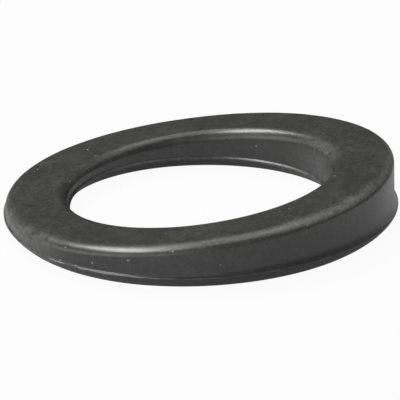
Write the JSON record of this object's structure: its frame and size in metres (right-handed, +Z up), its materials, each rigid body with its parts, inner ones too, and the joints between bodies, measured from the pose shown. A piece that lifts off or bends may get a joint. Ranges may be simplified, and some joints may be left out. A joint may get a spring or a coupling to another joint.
{
  "type": "overflow washer",
  "caption": "Round tapered rubber washer for a bath overflow: flat base with a low rim, sloping top face and a wide round bore.",
  "frame": {"origin": "centre of the flat base, on the bore's axis", "axes": "+Z up out of the flat base, along the bore's axis; +X towards the thick side, so the top face slopes down to the thin side at -X"},
  "size_m": [0.0826, 0.0826, 0.0129],
  "materials": {
    "black_rubber": "satin black moulded rubber, lightly dusty"
  },
  "bodies": {
    "root": {"overflow_washer": "black_rubber"}
  },
  "joints": []
}
